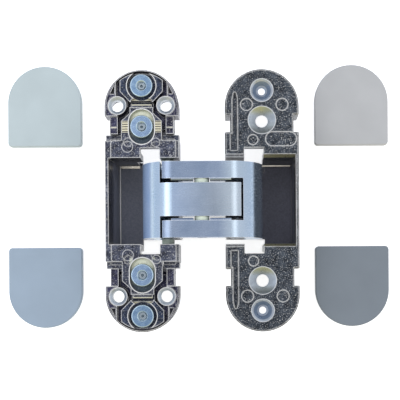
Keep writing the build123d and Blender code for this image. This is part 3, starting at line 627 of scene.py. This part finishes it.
floor_glow = 0.75
low, high = cad_box
floor_mesh = bpy.data.meshes.new("floor")
bm = bmesh.new()
bmesh.ops.create_grid(bm, x_segments=1, y_segments=1, size=1.5)
bm.to_mesh(floor_mesh)
bm.free()
floor = bpy.data.objects.new("floor", floor_mesh)
bpy.context.scene.collection.objects.link(floor)
floor.location = (high.x / 2 + low.x / 2, 0, low.z)

n = Nodes("floor_white")
n.finish((0.9, 0.9, 0.9), 0.0, 0.9)
light_path = n.add("ShaderNodeLightPath")
seen = n.math("MAXIMUM", light_path.outputs["Is Camera Ray"], light_path.outputs["Is Glossy Ray"])
seen = n.math("MAXIMUM", seen, light_path.outputs["Is Transmission Ray"])
glow = n.add("ShaderNodeEmission")
n.feed(glow.inputs["Strength"], n.times(seen, floor_glow))
total = n.add("ShaderNodeAddShader")
n.link(n.shader.outputs[0], total.inputs[0])
n.link(glow.outputs[0], total.inputs[1])
n.link(total.outputs[0], n.tree.nodes["Material Output"].inputs["Surface"])
floor.data.materials.append(n.material)


# Studio light: a pale sky, warmer at the bottom of the picture and brighter at its right, which the camera
# itself sees as white, and two long soft lamps beside the zenith

sky_strength = 0.8
white = (1 / sky_strength,) * 3
world = bpy.data.worlds.new("studio")
world.use_nodes = True
sky = world.node_tree
background = sky.nodes["Background"]
direction = sky.nodes.new("ShaderNodeSeparateXYZ")
sky.links.new(sky.nodes.new("ShaderNodeTexCoord").outputs["Generated"], direction.inputs[0])


def sky_blend(value, low_value, high_value, low_colour, high_colour):
    """Colour that goes from low_colour to high_colour as value does from low_value to high_value.

    Each colour is a tuple or an output.
    """
    share = sky.nodes.new("ShaderNodeMapRange")
    sky.links.new(value, share.inputs["Value"])
    share.inputs["From Min"].default_value = low_value
    share.inputs["From Max"].default_value = high_value
    share.interpolation_type = "SMOOTHSTEP"
    blend = sky.nodes.new("ShaderNodeMix")
    blend.data_type = "RGBA"
    sky.links.new(share.outputs["Result"], blend.inputs[0])
    for socket, colour in ((blend.inputs[6], low_colour), (blend.inputs[7], high_colour)):
        if isinstance(colour, tuple):
            socket.default_value = (*colour, 1)
        else:
            sky.links.new(colour, socket)
    return blend.outputs[2]


side_light = sky_blend(direction.outputs["X"], 0.2, 0.7, (0.86, 0.92, 1.06), (1.1, 1.14, 1.22))
sides = sky_blend(direction.outputs["Y"], -0.75, -0.25, (0.95, 0.9, 0.66), side_light)
dome = sky_blend(direction.outputs["Z"], 0.85, 0.99, sides, (0.8, 0.84, 0.92))
seen_by_camera = sky.nodes.new("ShaderNodeLightPath").outputs["Is Camera Ray"]
backdrop = sky_blend(seen_by_camera, 0.0, 1.0, dome, white)
sky.links.new(backdrop, background.inputs["Color"])
background.inputs["Strength"].default_value = sky_strength
bpy.context.scene.world = world

middle = Vector(((low.x + high.x) / 2, 0, 0))


def soft_lamp(name, place, width, length, power):
    """Area lamp beside the zenith that looks at the middle of the object, long in y."""
    data = bpy.data.lights.new(name, "AREA")
    data.shape = "RECTANGLE"
    data.size = length
    data.size_y = width
    data.energy = power
    lamp = bpy.data.objects.new(name, data)
    lamp.location = middle + Vector(place)
    lamp.rotation_mode = "QUATERNION"
    lamp.rotation_quaternion = (middle - lamp.location).to_track_quat("-Z", "Y")
    bpy.context.scene.collection.objects.link(lamp)


soft_lamp("left_lamp", (-0.3, 0.05, 0.7), 0.3, 0.8, 1.1)
soft_lamp("right_lamp", (0.2, 0.05, 0.7), 0.2, 0.8, 0.6)


# Camera: looks straight down, its frame shifted up and left to take in the whole set

pixels = 400
pixels_per_mm = 2.39  # at the level of the faces
camera_height = 370.0
camera_turn = -0.35  # degrees in the picture plane
below_camera = (36.66, -35.4)  # x and y of the point straight under the camera
below_camera_pixel = (230, 285)
focal_pixels = pixels_per_mm * camera_height

camera_data = bpy.data.cameras.new("camera")
camera_data.sensor_width = 36
camera_data.lens = focal_pixels / pixels * camera_data.sensor_width
camera_data.shift_x = (pixels / 2 - below_camera_pixel[0]) / pixels
camera_data.shift_y = (below_camera_pixel[1] - pixels / 2) / pixels
camera_data.clip_start = 0.01
camera = bpy.data.objects.new("camera", camera_data)
camera.location = Vector((*below_camera, camera_height)) * mm
camera.rotation_euler = (0, 0, radians(camera_turn))
bpy.context.scene.collection.objects.link(camera)
bpy.context.scene.camera = camera
bpy.context.scene.view_settings.view_transform = "Standard"
